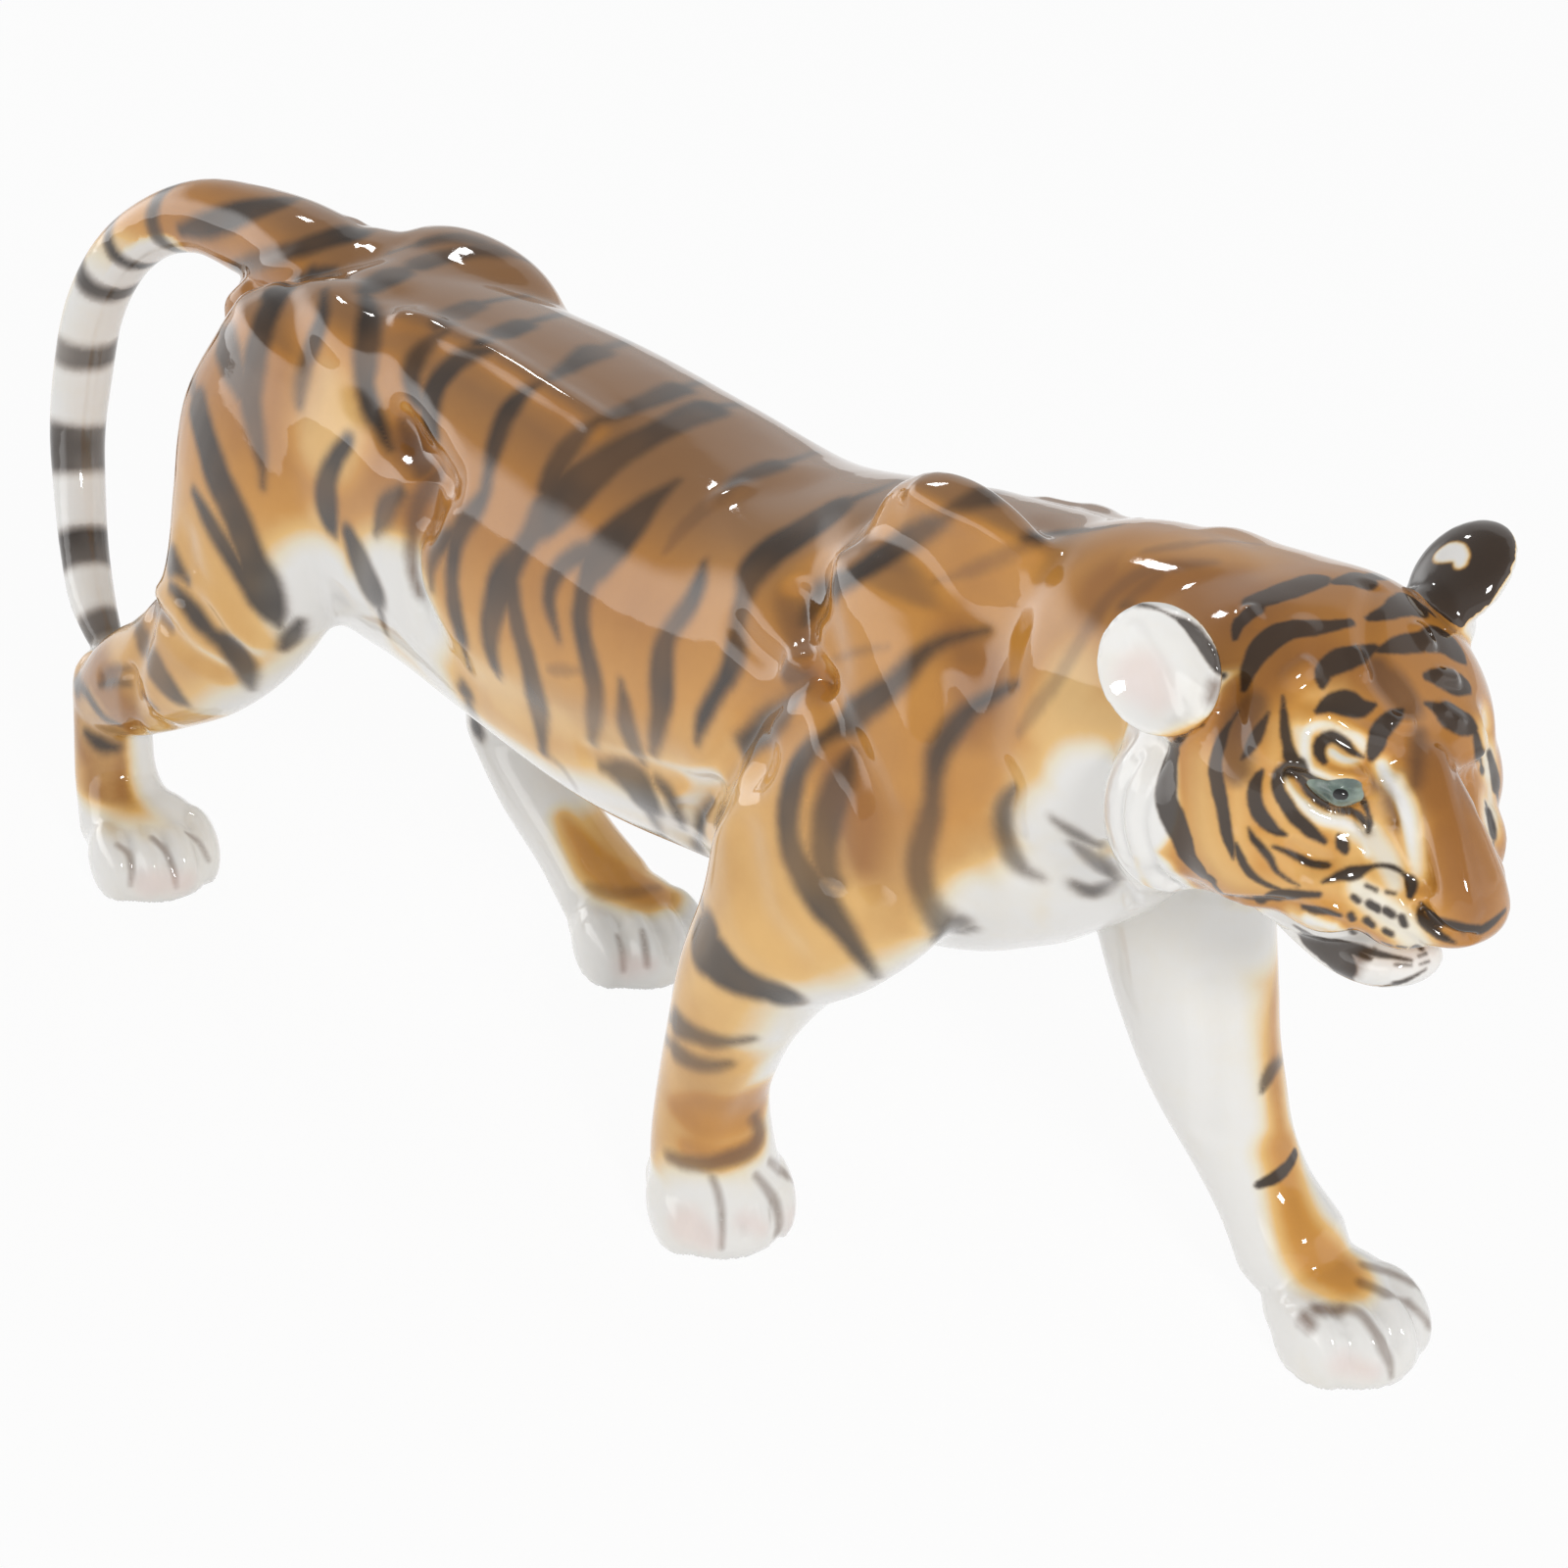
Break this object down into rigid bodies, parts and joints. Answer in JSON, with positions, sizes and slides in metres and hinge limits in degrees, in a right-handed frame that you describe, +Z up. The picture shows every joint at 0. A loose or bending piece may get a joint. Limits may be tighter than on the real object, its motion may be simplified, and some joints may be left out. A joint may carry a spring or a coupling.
{
  "type": "tiger figurine",
  "caption": "Ornamental walking tiger in glazed painted porcelain, head lowered and mouth slightly open, tail curling down to one hind leg.",
  "frame": {"origin": "centre of the bounding box on the floor plane that the four paws stand on", "axes": "+X towards the nose, +Y to the tiger's left, +Z up"},
  "size_m": [0.437, 0.1013, 0.1824],
  "materials": {
    "glazed_porcelain": "glazed porcelain, opaque, painted under a clear gloss glaze: orange-brown coat with dark stripes over a white body"
  },
  "bodies": {
    "root": {"tiger_figurine": "glazed_porcelain"}
  },
  "joints": []
}
